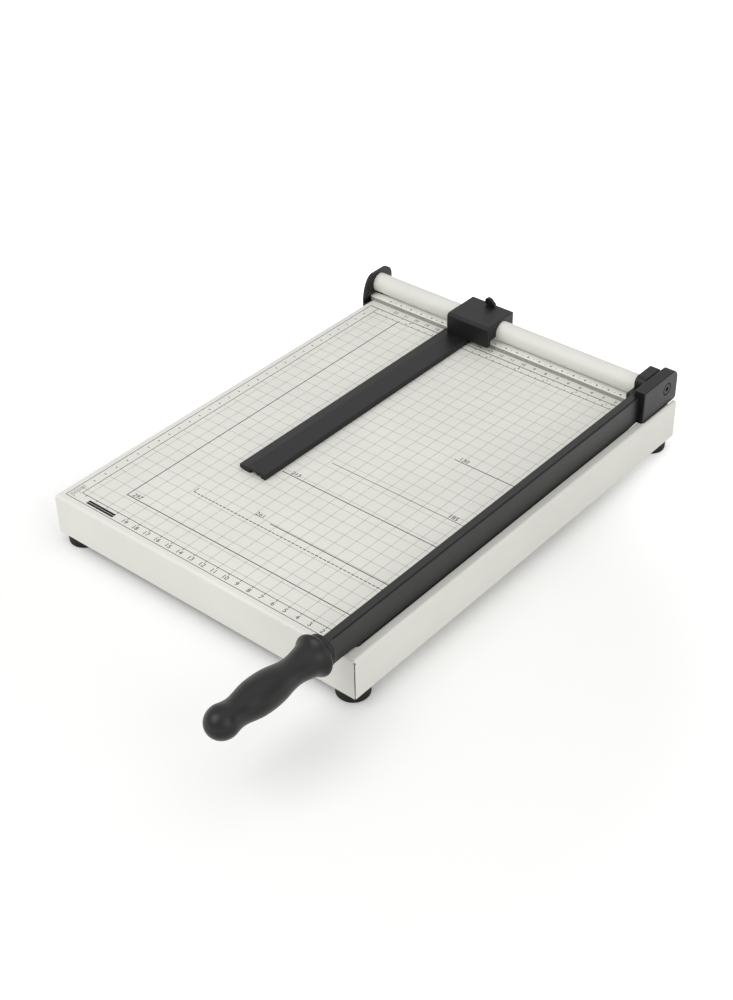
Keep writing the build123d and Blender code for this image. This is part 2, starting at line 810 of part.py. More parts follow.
# Moving blade: its edge keeps the arm's bow and is bevelled on the outer side.
z_blade_top = z_arm_top - blade_top_drop
with BuildPart() as moving_blade:
    with BuildSketch(Plane.YZ.offset(x_blade_in)):
        with BuildLine():
            ThreePointArc(
                (y_blade_front, z_bed + arm_front_rise - blade_below_web),
                (y_bow_middle, z_bed - arm_bow_drop - blade_below_web),
                (y_blade_rear, z_block_bottom - blade_below_web),
            )
            Polyline(
                (y_blade_rear, z_block_bottom - blade_below_web),
                (y_blade_rear, z_blade_top),
                (y_blade_front, z_blade_top),
                (y_blade_front, z_bed + arm_front_rise - blade_below_web),
            )
        make_face()
    extrude(amount=blade_thickness)
    chamfer(
        moving_blade.faces().sort_by(Axis.X)[-1].edges().sort_by(Axis.Z)[0],
        length=bevel_height,
        length2=bevel_depth,
        reference=moving_blade.faces().sort_by(Axis.X)[-1],
    )
    add(blade_screws.part, mode=Mode.SUBTRACT)
moving_blade.part.label = "moving blade"
export_step(moving_blade.part, "parts/moving_blade.step")

with BuildPart() as root_block:
    with BuildSketch(Plane.YZ.offset(x_block_in)):
        with BuildLine():
            Polyline(
                (y_block_rear - block_top_corner, z_block_top),
                (y_block_front, z_block_top),
                (y_block_front, z_block_bottom),
                (y_block_rear - block_bottom_corner, z_block_bottom),
                (y_block_rear, z_block_bottom + block_bottom_corner),
                (y_block_rear, z_block_top - block_top_corner),
            )
            RadiusArc(
                (y_block_rear, z_block_top - block_top_corner),
                (y_block_rear - block_top_corner, z_block_top),
                -block_top_corner,
            )
        make_face()
    extrude(amount=x_block_out - x_block_in)
    fillet(
        root_block.faces().sort_by(Axis.X)[-1].edges()
        + root_block.faces().sort_by(Axis.X)[0].edges(),
        block_edge_round,
    )
    add(blade_arm.part, mode=Mode.SUBTRACT)
    add(root_block_screws.part, mode=Mode.SUBTRACT)
    with Locations(Location((x_block_in, y_pivot, z_pivot), right_angles)):
        Cylinder(
            pivot_shoulder_dia / 2 + running_gap,
            x_block_out - x_block_in,
            align=upward,
            mode=Mode.SUBTRACT,
        )
    with Locations(Location((x_recess_floor, y_pivot, z_pivot), right_angles)):
        Cylinder(block_recess_dia / 2, block_recess_depth, align=upward, mode=Mode.SUBTRACT)
root_block.part.label = "root block"
export_step(root_block.part, "parts/root_block.step")

# Grip: collar, waist, swell, neck and a round bulb, pressed on the tang.
grip_radius = grip_collar_dia / 2
grip_turn_plane = Plane(
    (x_grip, y_arm_front, z_grip), x_dir=grip_plane.x_dir, z_dir=grip_plane.z_dir
)
grip_points = [
    (grip_length * station, grip_radius * share)
    for station, share in zip(grip_station_shares, grip_radius_shares)
]
bulb_place = grip_length * grip_bulb_start_share
bulb_radius = grip_radius * grip_bulb_share
with BuildPart() as handle_grip:
    with BuildSketch(grip_turn_plane):
        with BuildLine():
            Line((0, 0), (0, grip_radius * grip_rear_share))
            Spline(
                (0, grip_radius * grip_rear_share),
                *grip_points,
                (bulb_place, bulb_radius),
                tangents=((0, 1), (1, 0)),
                tangent_scalars=(1, 1),
            )
            EllipticalCenterArc(
                (bulb_place, 0), grip_length - bulb_place, bulb_radius, 0, arc_size=90
            )
            Line((grip_length, 0), (0, 0))
        make_face()
    revolve(axis=Axis(grip_turn_plane.origin, grip_turn_plane.x_dir))
    add(blade_arm.part, mode=Mode.SUBTRACT)
handle_grip.part.label = "handle grip"
export_step(handle_grip.part, "parts/handle_grip.step")

# Liner, open below, on which the clamp block turns.
x_bush_left = x_clamp_left + clamp_end_wall + end_float
bush_length = clamp_width - 2 * (clamp_end_wall + end_float)
bush_sweep = bush_front_angle - bush_rear_angle
with BuildPart() as slide_bush:
    with BuildSketch(Plane((x_bush_left, y_tube, z_tube), x_dir=(0, 1, 0), z_dir=(1, 0, 0))):
        with BuildLine():
            outer = CenterArc((0, 0), bush_radius, bush_rear_angle, bush_sweep)
            inner = CenterArc((0, 0), bush_bore, bush_rear_angle, bush_sweep)
            Line(outer @ 0, inner @ 0)
            Line(outer @ 1, inner @ 1)
        make_face()
    extrude(amount=bush_length)
slide_bush.part.label = "slide bush"
export_step(slide_bush.part, "parts/slide_bush.step")

# Lock lever: a thumb tab on a pin whose flat frees the liner and whose round side holds it.
x_lock = (x_clamp_left + x_clamp_right) / 2
lock_pin_radius = lock_pin_dia / 2
y_lock = y_tube + bush_radius + running_gap + lock_pin_radius
z_lock_seat = z_clamp_top + lock_float
z_lock_tip = z_bed + clamp_rear_rise + lock_tip_gap
z_lock_tab = z_lock_seat + lock_collar_height
with BuildPart() as lock_lever:
    with Locations((x_lock, y_lock, z_lock_tip)):
        Cylinder(lock_pin_radius, z_lock_seat - z_lock_tip, align=upward)
    with Locations((x_lock, y_lock - lock_pin_radius, z_tube)):
        Box(lock_pin_dia, 2 * lock_flat_depth, lock_flat_height, mode=Mode.SUBTRACT)
    with Locations((x_lock, y_lock, z_lock_seat)):
        Cylinder(lock_collar_dia / 2, lock_collar_height, align=upward)
    with BuildSketch(Plane.XZ.offset(-y_lock - lock_tab_thickness / 2)) as tab_sketch:
        with BuildLine():
            Polyline(
                (x_lock - lock_tab_length / 2, z_lock_tab),
                (x_lock + lock_tab_length / 2, z_lock_tab),
                (x_lock + lock_tab_length / 2, z_lock_tab + lock_tab_low),
                (x_lock, z_lock_tab + lock_tab_height),
                (x_lock - lock_tab_length / 2, z_lock_tab + lock_tab_height),
                close=True,
            )
        make_face()
        fillet(tab_sketch.vertices().group_by(Axis.Y)[-1], lock_tab_corner)
    extrude(amount=lock_tab_thickness)
lock_lever.part.label = "lock lever"
export_step(lock_lever.part, "parts/lock_lever.step")

# Clamp block: a skirt in front holds the press arm, the other walls end above the fence.
y_skirt_end = y_clamp_front + clamp_skirt
z_clamp_rear = z_bed + clamp_rear_rise
x_side_skirt = x_press_left + press_width + clamp_side_skirt_gap
with BuildPart() as clamp_block:
    with BuildSketch(Plane.YZ.offset(x_clamp_left)) as clamp_sketch:
        with BuildLine():
            Polyline(
                (y_clamp_front, z_clamp_bottom),
                (y_skirt_end, z_clamp_bottom),
                (y_skirt_end, z_clamp_rear),
                (y_clamp_rear, z_clamp_rear),
                (y_clamp_rear, z_clamp_top),
                (y_clamp_front, z_clamp_top),
                close=True,
            )
        make_face()
        fillet(clamp_sketch.vertices().group_by(Axis.Y)[-1].sort_by(Axis.X)[0], clamp_front_round)
        fillet(clamp_sketch.vertices().group_by(Axis.Y)[-1].sort_by(Axis.X)[-1], clamp_rear_round)
    extrude(amount=clamp_width)
    fillet(
        clamp_block.faces().sort_by(Axis.X)[0].edges().sort_by(Axis.Z)[3:]
        + clamp_block.faces().sort_by(Axis.X)[-1].edges().sort_by(Axis.Z)[3:],
        clamp_round,
    )
    with Locations((x_side_skirt, y_clamp_front + clamp_side_skirt, z_clamp_bottom)):
        Box(
            x_clamp_right - x_side_skirt,
            clamp_skirt - clamp_side_skirt,
            z_clamp_rear - z_clamp_bottom,
            align=low,
            mode=Mode.SUBTRACT,
        )
    with Locations(Location((x_clamp_left, y_tube, z_tube), right_angles)):
        Cylinder(tube_radius + clamp_end_gap, clamp_width, align=upward, mode=Mode.SUBTRACT)
    with Locations(Location((x_clamp_left + clamp_end_wall, y_tube, z_tube), right_angles)):
        Cylinder(
            clamp_bore, clamp_width - 2 * clamp_end_wall, align=upward, mode=Mode.SUBTRACT
        )
    # Bore of the lock pin and the window through which it reaches the liner.
    with Locations((x_lock, y_lock, z_clamp_rear)):
        Cylinder(
            lock_pin_radius + running_gap,
            z_clamp_top - z_clamp_rear,
            align=upward,
            mode=Mode.SUBTRACT,
        )
    with Locations((x_lock - lock_window_width / 2, y_tube, z_tube - lock_window_height / 2)):
        Box(
            lock_window_width,
            y_lock - y_tube,
            lock_window_height,
            align=low,
            mode=Mode.SUBTRACT,
        )
    add(press_arm_screws.part, mode=Mode.SUBTRACT)
clamp_block.part.label = "clamp block"
export_step(clamp_block.part, "parts/clamp_block.step")

# Press arm: a ribbed strip whose two feet come down close to the bed.
press_left_foot = press_width * press_left_foot_share
press_left_foot_end = press_left_foot + press_width * press_left_foot_width_share
press_rib = press_width * press_rib_place_share
press_rib_end = press_rib + press_width * press_rib_width_share
press_right_foot = press_width * (1 - press_right_foot_width_share)
press_crease = press_width * press_crease_share
z_press_rim = z_press_foot + press_depth * (1 - press_rim_share)
z_press_edge = z_press_foot + press_depth * press_crease_rise_share
press_outline = [
    (0, z_press_rim),
    (press_left_foot, z_press_foot),
    (press_left_foot_end, z_press_foot),
    (press_left_foot_end, z_press_web),
    (press_rib, z_press_web),
    (press_rib, z_press_rib),
    (press_rib_end, z_press_rib),
    (press_rib_end, z_press_web),
    (press_right_foot, z_press_web),
    (press_right_foot, z_press_foot),
    (press_width, z_press_foot),
    (press_width, z_clamp_bottom),
    (press_crease, z_clamp_bottom),
    (0, z_press_edge),
]
with BuildPart() as press_arm:
    with BuildSketch(Plane.XZ.offset(-y_press_rear)):
        with BuildLine():
            Polyline(*[(x_press_left + x, z) for x, z in press_outline], close=True)
        make_face()
    extrude(amount=y_press_rear - y_press_front)
    add(press_arm_screws.part, mode=Mode.SUBTRACT)
press_arm.part.label = "press arm"
export_step(press_arm.part, "parts/press_arm.step")
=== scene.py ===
"""Guillotine paper cutter: finishes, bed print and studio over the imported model."""
import math
from types import SimpleNamespace

import bmesh
import bpy
from mathutils import Matrix, Vector


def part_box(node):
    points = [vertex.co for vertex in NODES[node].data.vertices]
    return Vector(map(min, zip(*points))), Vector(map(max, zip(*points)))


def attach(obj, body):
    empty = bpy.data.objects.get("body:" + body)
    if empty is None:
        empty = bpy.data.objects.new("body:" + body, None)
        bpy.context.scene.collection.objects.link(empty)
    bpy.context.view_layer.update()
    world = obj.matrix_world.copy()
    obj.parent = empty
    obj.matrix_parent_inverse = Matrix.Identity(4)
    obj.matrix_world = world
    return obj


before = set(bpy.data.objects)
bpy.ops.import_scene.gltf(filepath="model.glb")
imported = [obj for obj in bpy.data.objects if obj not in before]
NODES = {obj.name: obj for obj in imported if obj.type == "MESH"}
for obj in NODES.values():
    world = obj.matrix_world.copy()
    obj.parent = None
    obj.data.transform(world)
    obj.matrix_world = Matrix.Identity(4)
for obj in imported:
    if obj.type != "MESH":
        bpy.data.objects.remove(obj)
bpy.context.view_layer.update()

bl_info = {
    "name": "Paper Cutter Builder",
    "version": (1, 0, 0),
    "blender": (4, 5, 0),
    "location": "View3D > Sidebar > Cutter",
    "description": "Finishes, bed print and a studio for a guillotine paper cutter",
    "category": "Object",
}

MM = 0.001
WHITE = (1.0, 1.0, 1.0, 1.0)
TRAY_LOW, TRAY_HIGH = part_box("base_tray")
FENCE_LOW, FENCE_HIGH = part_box("fence_rule")
EDGE_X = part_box("fixed_blade")[1].x

# Printed format lines: distance from the fence's stop face, reach from the cutting
# edge, both in millimetres, and weight as a share of the bold line.
FORMATS = ((297, 210, 1.0), (261, 115, 1.0), (213, 148, 1.0), (185, 128, 0.7), (130, 66, 1.0))
DASHED_FORMAT = (267, 178)
# Numbers at the format lines: the distance itself, and its place from the cutting edge.
FORMAT_NUMBERS = ((297, 203), (261, 126), (213, 138), (185, 27), (130, 60))
# First line of the squares and first number of the centimetre rules.
FIRST_LINE = 2
# How near the last line of the squares may come to a frame line, as a share of a square.
CLEAR_SHARE = 1 / 3
# Last numbers of the front, rear and inch rules, and the steps in an inch.
FRONT_LAST, REAR_LAST, INCH_LAST = 19, 22, 8
INCH_STEPS = 4
# Length of the step at a whole inch, as a share of the other steps.
WHOLE_INCH_SHARE = 1.6
# Dashes in the length of a square, and the inked share of each.
DASHES = 3
DASH_SHARE = 0.75
# Shares of the rule band: the line up at the dashed corner, the height of the front
# numbers, and the heights of the plain block's two rows.
UPRIGHT_SHARE = 2 / 3
FRONT_NUMBER_SHARE = 0.43
BLOCK_ROW_SHARES = (0.3, 0.56)
# Marks of the corner's millimetre scale, and how many of them make a group.
SCALE_MARKS, SCALE_GROUP = 13, 5
# Height of the font's digits as a share of its size, and the steps in their curves.
DIGIT_SHARE = 0.7
DIGIT_STEPS = 3

# Widths of the patterns in the finishes, in millimetres.
PEEL_WIDTH = 1.1
COAT_CLOUD_WIDTH = 45.0
SHEAR_WIDTH = 0.7
FLOW_CLOUD_WIDTH = 18.0
DRAW_MARK_WIDTH = 0.9
ENAMEL_CLOUD_WIDTH = 22.0
SCRATCH_WIDTH = 0.4
NICK_WIDTH = 0.6
SCREEN_WIDTH = 0.8
# Where a pattern reaches its darkest and its lightest tone.
TONE_STOPS = (0.3, 0.7)
# Colour sockets of a Mix node: first and second input, and output.
MIX_FIRST, MIX_SECOND, MIX_RESULT = 6, 7, 2

# Lamps: name, property with the power, side of the square, place and aim, in metres.
LAMPS = (
    ("top_light", "top", 1.8, (0.45, 0.2, 1.55), (0.0, 0.0, 0.0)),
    ("front_light", "front", 1.2, (-0.4, -1.15, 1.5), (0.0, 0.0, 0.03)),
    ("side_light", "side", 1.2, (1.7, -0.35, 0.9), (0.05, 0.0, 0.05)),
)
# Half the floor's side in metres, the squares along it, and the picture's height in millimetres.
FLOOR_HALF = 6.0
FLOOR_SQUARES = 4
PICTURE_HEIGHT = 36.0


def linear(code):
    """Return an sRGB hex colour as linear red, green, blue and a full alpha."""
    channels = [int(code[place:place + 2], 16) / 255 for place in (1, 3, 5)]
    straight = [c / 12.92 if c <= 0.04045 else ((c + 0.055) / 1.055) ** 2.4 for c in channels]
    return (*straight, 1.0)


def length(label, text, millimetres):
    """Return a length property whose default is given in millimetres."""
    return bpy.props.FloatProperty(
        name=label, description=text, default=millimetres * MM, min=0.0, unit="LENGTH",
        precision=5,
    )


def colour(label, text, code):
    """Return a colour property whose default is an sRGB hex value."""
    return bpy.props.FloatVectorProperty(
        name=label, description=text, default=linear(code), size=4, subtype="COLOR",
        min=0.0, max=1.0,
    )


def angle(label, text, degrees):
    """Return an angle property whose default is given in degrees."""
    return bpy.props.FloatProperty(
        name=label, description=text, default=math.radians(degrees), subtype="ANGLE"
    )


def spot(label, text, place):
    """Return a property for a place in metres."""
    return bpy.props.FloatVectorProperty(
        name=label, description=text, default=place, subtype="TRANSLATION", unit="LENGTH"
    )


def strength(label, text, share):
    """Return a property for light as a share of white."""
    return bpy.props.FloatProperty(name=label, description=text, default=share, min=0.0)


def power(label, text, watts):
    """Return a lamp's power property."""
    return bpy.props.FloatProperty(
        name=label, description=text, default=watts, min=0.0, unit="POWER"
    )


class CutterPrint(bpy.types.PropertyGroup):
    """Sizes of the squares, rules, format lines and marks printed on the bed and the fence."""

    square: length("Square", "Side of the printed squares, also the step of the rules", 10.0)
    inch: length("Inch", "Step of the small rule along the fence", 25.4)
    grid_line: length("Grid line", "Width of the pale lines of the squares", 0.42)
    thin_line: length("Thin line", "Width of the lines that frame the rules", 0.42)
    bold_line: length("Bold line", "Width of the format lines", 0.6)
    rise: length("Ink height", "Height of the ink above the coat", 0.03)
    sink: length("Ink depth", "Depth of the ink in the coat", 0.02)
    rim: length("Rim", "From the tray's edge to the outer line of the rules", 5.5)
    band: length("Rule band", "Width of the rules along the front and left edges", 7.6)
    fence_marks: length("Fence marks", "From the stop face to the marks on the fence", 2.6)
    rear_bold: length("Rear bold line", "From the stop face to the bold line before it", 7.2)
    rear_thin: length("Rear thin line", "From the stop face to the thin line before it", 13.5)
    edge_margin: length("Edge margin", "From the cutting edge to the ends of the lines", 4.6)
    digit: length("Digits", "Height of the front rule's numbers", 3.6)
    small_digit: length("Small digits", "Height of the rear rule's numbers", 2.8)
    inch_digit: length("Inch digits", "Height of the small rule's numbers", 2.0)
    tick: length("Tick", "Length of the steps of the rules", 1.6)
    block_start: length("Block start", "From the outer line to the plain block", 17.8)
    block_end: length("Block end", "From the outer line to the plain block's far end", 42.6)
    block_row: length("Block row", "Height of each row of the plain block", 1.68)
    scale_inset: length("Scale inset", "From the outer left line to the corner's scale", 1.4)
    scale_start: length("Scale start", "From the outer front line to the scale's first mark", 2.0)
    scale_step: length("Scale step", "From mark to mark of the corner's scale", 1.0)
    scale_short: length("Short mark", "Length of the scale's short marks", 3.4)
    scale_long: length("Long mark", "Length of the scale's long marks", 5.6)
    scale_line: length("Scale line", "Width of the scale's marks", 0.21)


class CutterColours(bpy.types.PropertyGroup):
    """Colours of the finishes."""

    ivory: colour("Ivory coat", "Powder coat of the tray and the tube", "#E5E4DD")
    # The fence coat is paler than the tray's ivory as painted light, lifting the strip's top
    # where the tube shades it.
    strip: colour("Fence coat", "Coat on the fence's strip", "#F2F1EC")
    # The fence edge colour is painted shade: a darker grey on the strip's faces turned to the
    # front.
    strip_edge: colour("Fence front shade", "Painted shade on the faces of the fence's strip turned to the front", "#9C9C96")
    black: colour("Black moulding", "Moulded pieces", "#121212")
    grip: colour("Black grip", "Grip at the end of the blade arm", "#141413")
    enamel: colour("Black enamel", "Enamel of the blade arm", "#151514")
    oxide: colour("Black oxide", "Pivot bolt and its spring washer", "#1E1E1F")
    steel: colour("Blade steel", "Ground steel of the two blades", "#C6C8CA")
    zinc: colour("Zinc plating", "Screws, nuts and bolts", "#B4B7B8")
    rubber: colour("Rubber", "The four feet", "#191918")
    acetal: colour("Acetal", "Liner and thrust washer", "#E4E1D6")
    ink: colour("Ink", "Numbers and format lines", "#121211")
    pale_ink: colour("Pale ink", "Lines of the squares", "#BDBDB6")


class CutterStudio(bpy.types.PropertyGroup):
    """Camera, floor and light."""

    azimuth: angle("Azimuth", "Turn of the camera about the cutter", 40.534)
    elevation: angle("Elevation", "Height of the camera above the horizon", 36.777)
    roll: angle("Roll", "Tilt of the picture", -1.009)
    distance: length("Distance", "From the camera to the point it looks at", 1108.0)
    target: spot("Target", "Point that the camera looks at", (0.0275, 0.0089, 0.03))
    lens: bpy.props.FloatProperty(
        name="Lens", description="Focal length for a 36 mm picture height", default=60.15,
        unit="CAMERA",
    )
    floor: colour("Floor", "Plain pale floor", "#F7F7F6")
    floor_glow: strength("Floor glow", "White that the floor adds where the shadow lies", 0.09)
    shadow_middle: spot(
        "Shadow middle", "Middle of the floor that keeps the whole shadow", (0.08, -0.12, 0.0)
    )
    shadow_reach: length("Shadow reach", "From there to where the glow starts to grow", 200.0)
    white_reach: length("White reach", "From there to where the floor is all white", 560.0)
    ambient: strength("Surrounding light", "Strength of the even light from all sides", 0.45)
    top: power("Top light", "Power of the large soft light above", 5.0)
    front: power("Front light", "Power of the soft light above the front", 15.0)
    side: power("Side light", "Power of the soft light on the blade side", 7.0)


def add_node(tree, kind, values=None, links=None, **settings):
    """Add a node, set its own settings and socket values, link its inputs and return it."""
    node = tree.nodes.new(kind)
    for name, value in settings.items():
        setattr(node, name, value)
    for name, value in (values or {}).items():
        node.inputs[name].default_value = value
    for name, socket in (links or {}).items():
        tree.links.new(socket, node.inputs[name])
    return node


def new_finish(name):
    """Return a new material, its tree, its shader and the object's coordinates."""
    material = bpy.data.materials.new(name)
    material.use_nodes = True
    tree = material.node_tree
    shader = tree.nodes["Principled BSDF"]
    coordinates = add_node(tree, "ShaderNodeTexCoord").outputs["Object"]
    return material, tree, shader, coordinates


def per_metre(millimetres):
    """Return the texture scale whose features are that many millimetres apart."""
    return 1 / (millimetres * MM)


def tones(tree, pattern, base, spread):
    """Return a colour that swings about the base by a share of its brightness."""
    ramp = add_node(tree, "ShaderNodeValToRGB", links={"Fac": pattern})
    gains = (1.0 - spread, 1.0 + spread)
    for stop, position, gain in zip(ramp.color_ramp.elements, TONE_STOPS, gains):
        stop.position = position
        stop.color = (*[min(channel * gain, 1.0) for channel in base[:3]], 1.0)
    return ramp.outputs["Color"]


def vary(tree, shader, tone, sheen, rough, relief=None, bump=0.0, depth_mm=0.0):
    """Give a shader its tones, a roughness that swings with a pattern, and a relief."""
    tree.links.new(tone, shader.inputs["Base Color"])
    smoothest, dullest = rough
    swing = add_node(
        tree, "ShaderNodeMapRange", {"To Min": smoothest, "To Max": dullest}, {"Value": sheen}
    )
    tree.links.new(swing.outputs["Result"], shader.inputs["Roughness"])
    if relief is not None:
        raised = add_node(
            tree, "ShaderNodeBump", {"Strength": bump, "Distance": depth_mm * MM},
            {"Height": relief},
        )
        tree.links.new(raised.outputs["Normal"], shader.inputs["Normal"])


def powder_coat(base):
    """Powder-coated sheet steel, baked on in one thick film.

    It gives the eye a soft satin sheen that is broken up by a fine orange peel
    about a millimetre wide, and a colour that is even but not dead flat.
    """
    material, tree, shader, place = new_finish("ivory_powder_coat")
    peel = add_node(
        tree, "ShaderNodeTexNoise", {"Scale": per_metre(PEEL_WIDTH), "Detail": 2.0},
        {"Vector": place},
    ).outputs["Fac"]
    cloud = add_node(
        tree, "ShaderNodeTexNoise", {"Scale": per_metre(COAT_CLOUD_WIDTH), "Detail": 3.0},
        {"Vector": place},
    ).outputs["Fac"]
    vary(
        tree, shader, tones(tree, cloud, base, spread=0.025), sheen=cloud, rough=(0.40, 0.52),
        relief=peel, bump=0.22, depth_mm=0.02,
    )
    shader.inputs["IOR"].default_value = 1.5
    return material


def coated_strip(base, edge):
    """Aluminium strip that was coated as a coil and then cut to width.

    The top has the satin pale film, kept paler than the tray's ivory as painted light
    where the tube shades it. The faces turned to the front are a darker grey, painted
    shade, with fine marks across them, drawn coarser than real ones.
    """
    material, tree, shader, place = new_finish("coated_aluminium_strip")
    across = add_node(tree, "ShaderNodeMapping", {"Scale": (1.0, 0.05, 0.05)}, {"Vector": place})
    shear = add_node(
        tree, "ShaderNodeTexNoise", {"Scale": per_metre(SHEAR_WIDTH), "Detail": 3.0},
        {"Vector": across.outputs["Vector"]},
    ).outputs["Fac"]
    cloud = add_node(
        tree, "ShaderNodeTexNoise", {"Scale": per_metre(COAT_CLOUD_WIDTH), "Detail": 3.0},
        {"Vector": place},
    ).outputs["Fac"]
    normal = add_node(tree, "ShaderNodeNewGeometry").outputs["True Normal"]
    facing = add_node(tree, "ShaderNodeSeparateXYZ", links={0: normal})
    # The front faces -Y; where a face turns to it, the edge colour, a darker grey of painted
    # shade, takes over from the film's tone.
    painted_shade_front = add_node(
        tree, "ShaderNodeMapRange", {"From Min": -0.6, "From Max": -0.9},
        {"Value": facing.outputs["Y"]},
    )
    shade = add_node(
        tree, "ShaderNodeMix",
        links={
            "Factor": painted_shade_front.outputs["Result"],
            MIX_FIRST: tones(tree, cloud, base, spread=0.025),
            MIX_SECOND: tones(tree, shear, edge, spread=0.12),
        },
        data_type="RGBA",
    )
    vary(tree, shader, shade.outputs[MIX_RESULT], sheen=shear, rough=(0.40, 0.52))
    shader.inputs["IOR"].default_value = 1.5
    return material


def moulded_plastic(name, base, grain, rough, spread, bump=0.25):
    """Injection-moulded plastic with a spark-eroded grain, as ABS pieces have.

    The grain is a shallow pebble less than a millimetre across. It spreads the
    light to a wide soft sheen and hides part of it, and large flats show a slight
    flow cloud. A polished mould leaves less relief, and then the sheen draws together
    to soft streaks.
    """
    material, tree, shader, place = new_finish(name)
    pebble = add_node(
        tree, "ShaderNodeTexVoronoi", {"Scale": per_metre(grain)}, {"Vector": place},
        feature="SMOOTH_F1",
    ).outputs["Distance"]
    cloud = add_node(
        tree, "ShaderNodeTexNoise", {"Scale": per_metre(FLOW_CLOUD_WIDTH), "Detail": 4.0},
        {"Vector": place},
    ).outputs["Fac"]
    vary(
        tree, shader, tones(tree, cloud, base, spread), sheen=cloud, rough=rough,
        relief=pebble, bump=bump, depth_mm=0.03,
    )
    shader.inputs["IOR"].default_value = 1.53
    shader.inputs["Specular IOR Level"].default_value = 0.27
    return material


def stove_enamel(base):
    """Satin stove enamel sprayed on the rolled bar of the blade arm.

    It is smoother than the mouldings: long faint draw marks run along the bar
    under the film, so the highlight is a soft streak and not a spot.
    """
    material, tree, shader, place = new_finish("black_stove_enamel")
    along = add_node(tree, "ShaderNodeMapping", {"Scale": (1.0, 0.02, 1.0)}, {"Vector": place})
    draw = add_node(
        tree, "ShaderNodeTexNoise", {"Scale": per_metre(DRAW_MARK_WIDTH), "Detail": 3.0},
        {"Vector": along.outputs["Vector"]},
    ).outputs["Fac"]
    cloud = add_node(
        tree, "ShaderNodeTexNoise", {"Scale": per_metre(ENAMEL_CLOUD_WIDTH), "Detail": 3.0},
        {"Vector": place},
    ).outputs["Fac"]
    vary(
        tree, shader, tones(tree, cloud, base, spread=0.12), sheen=draw, rough=(0.36, 0.50),
        relief=draw, bump=0.12, depth_mm=0.02,
    )
    shader.inputs["IOR"].default_value = 1.44
    return material


def ground_steel(base):
    """Surface-ground tool steel of the blades.

    The wheel leaves fine parallel scratches along the blade, drawn here about
    0.4 mm apart, coarser than real ones, so that they show.
    """
    material, tree, shader, place = new_finish("ground_tool_steel")
    along = add_node(tree, "ShaderNodeMapping", {"Scale": (1.0, 0.01, 1.0)}, {"Vector": place})
    scratch = add_node(
        tree, "ShaderNodeTexNoise", {"Scale": per_metre(SCRATCH_WIDTH), "Detail": 4.0},
        {"Vector": along.outputs["Vector"]},
    ).outputs["Fac"]
    vary(
        tree, shader, tones(tree, scratch, base, spread=0.12), sheen=scratch,
        rough=(0.24, 0.42), relief=scratch, bump=0.15, depth_mm=0.01,
    )
    shader.inputs["Metallic"].default_value = 1.0
    return material


def plated_steel(name, base, rough):
    """Steel of the screws, nuts and bolts, zinc plated or blackened in a hot bath.

    Tumbled in a barrel: a slightly cloudy metal with fine nicks, neither mirror
    nor matt. Black oxide is a thin film that leaves the metal dark and duller.
    """
    material, tree, shader, place = new_finish(name)
    nicks = add_node(
        tree, "ShaderNodeTexNoise", {"Scale": per_metre(NICK_WIDTH), "Detail": 3.0},
        {"Vector": place},
    ).outputs["Fac"]
    vary(
        tree, shader, tones(tree, nicks, base, spread=0.15), sheen=nicks, rough=rough,
        relief=nicks, bump=0.15, depth_mm=0.02,
    )
    shader.inputs["Metallic"].default_value = 1.0
    return material


def print_ink(name, base):
    """Screen-printed ink on the coat.

    The mesh of the screen lets the tone waver a little. It is about 0.2 mm wide, and
    is drawn coarser so that it shows. The film is duller than the coat around it.
    """
    material, tree, shader, place = new_finish(name)
    screen = add_node(
        tree, "ShaderNodeTexNoise", {"Scale": per_metre(SCREEN_WIDTH), "Detail": 2.0},
        {"Vector": place},
    ).outputs["Fac"]
    vary(
        tree, shader, tones(tree, screen, base, spread=0.14), sheen=screen, rough=(0.52, 0.66)
    )
    shader.inputs["IOR"].default_value = 1.48
    shader.inputs["Specular IOR Level"].default_value = 0.2
    return material


def give(material, *names):
    """Give CAD nodes a finish through their material slots."""
    for name in names:
        slots = NODES[name].data.materials
        if len(slots) == 0:
            slots.append(material)
        for place in range(len(slots)):
            slots[place] = material


class CUTTER_OT_tray(bpy.types.Operator):
    """Coat the folded tray, the tube and the fence"""

    bl_idname = "cutter.tray"
    bl_label = "Coat the tray"

    def execute(self, context):
        colours = context.scene.cutter_colours
        give(powder_coat(colours.ivory), "base_tray", "rail_tube")
        give(coated_strip(colours.strip, colours.strip_edge), "fence_rule")
        return {"FINISHED"}


def stroke(mesh, start, end, width, low, high):
    """Add a printed line along X or Y, a closed bar between two heights, to a bmesh."""
    half = width / 2
    pad = Vector((half, 0.0)) if start[0] == end[0] else Vector((0.0, half))
    corner = Vector((*(Vector(start) - pad), low))
    far_corner = Vector((*(Vector(end) + pad), high))
    place = Matrix.Translation((corner + far_corner) / 2)
    scale = Matrix.Diagonal((*(far_corner - corner), 1.0))
    bmesh.ops.create_cube(mesh, size=1.0, matrix=place @ scale)


def numeral(mesh, text, height, thick, place):
    """Add a number, drawn with Blender's own font and made a closed mesh, to a bmesh."""
    curve = bpy.data.curves.new("numeral", "FONT")
    curve.body = text
    curve.align_x = "CENTER"
    curve.align_y = "CENTER"
    curve.size = height / DIGIT_SHARE
    curve.extrude = thick / 2
    curve.resolution_u = DIGIT_STEPS
    writer = bpy.data.objects.new("numeral", curve)
    bpy.context.scene.collection.objects.link(writer)
    bpy.context.view_layer.update()
    shape = bpy.data.meshes.new_from_object(
        writer.evaluated_get(bpy.context.evaluated_depsgraph_get())
    )
    shape.transform(Matrix.Translation(place))
    mesh.from_mesh(shape)
    bpy.data.objects.remove(writer)
    bpy.data.curves.remove(curve)
    bpy.data.meshes.remove(shape)


